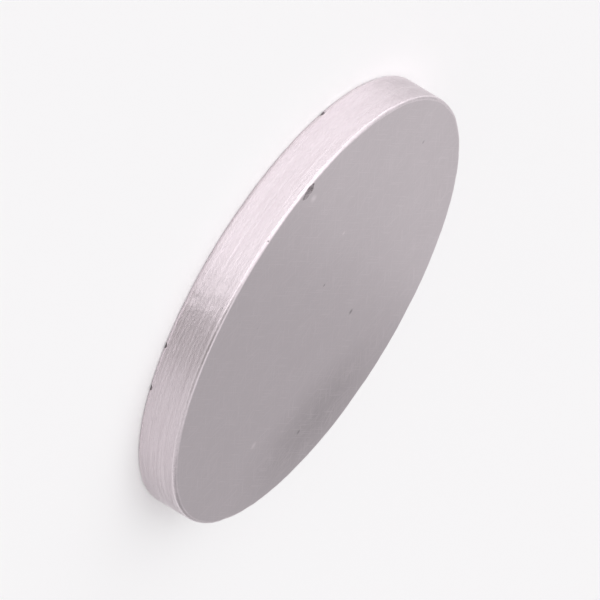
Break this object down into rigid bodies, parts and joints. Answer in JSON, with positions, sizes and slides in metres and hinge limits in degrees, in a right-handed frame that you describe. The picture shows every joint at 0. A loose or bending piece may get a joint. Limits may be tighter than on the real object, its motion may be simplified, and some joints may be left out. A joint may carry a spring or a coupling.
{
  "type": "disc magnet",
  "caption": "Thin round disc magnet with flat ground faces, a ground rim and small rounded edges, for holding, closing or pinning to steel.",
  "frame": {"origin": "centre of the back face, which the disc lies on", "axes": "+Z along the disc's axis, out of the front face; +X and +Y lie across the disc, and the small chip at the border of the front face is 246 degrees round from +X"},
  "size_m": [0.016, 0.016, 0.0015],
  "materials": {
    "plating": "satin"
  },
  "bodies": {
    "root": {"magnet": "plating"}
  },
  "joints": []
}
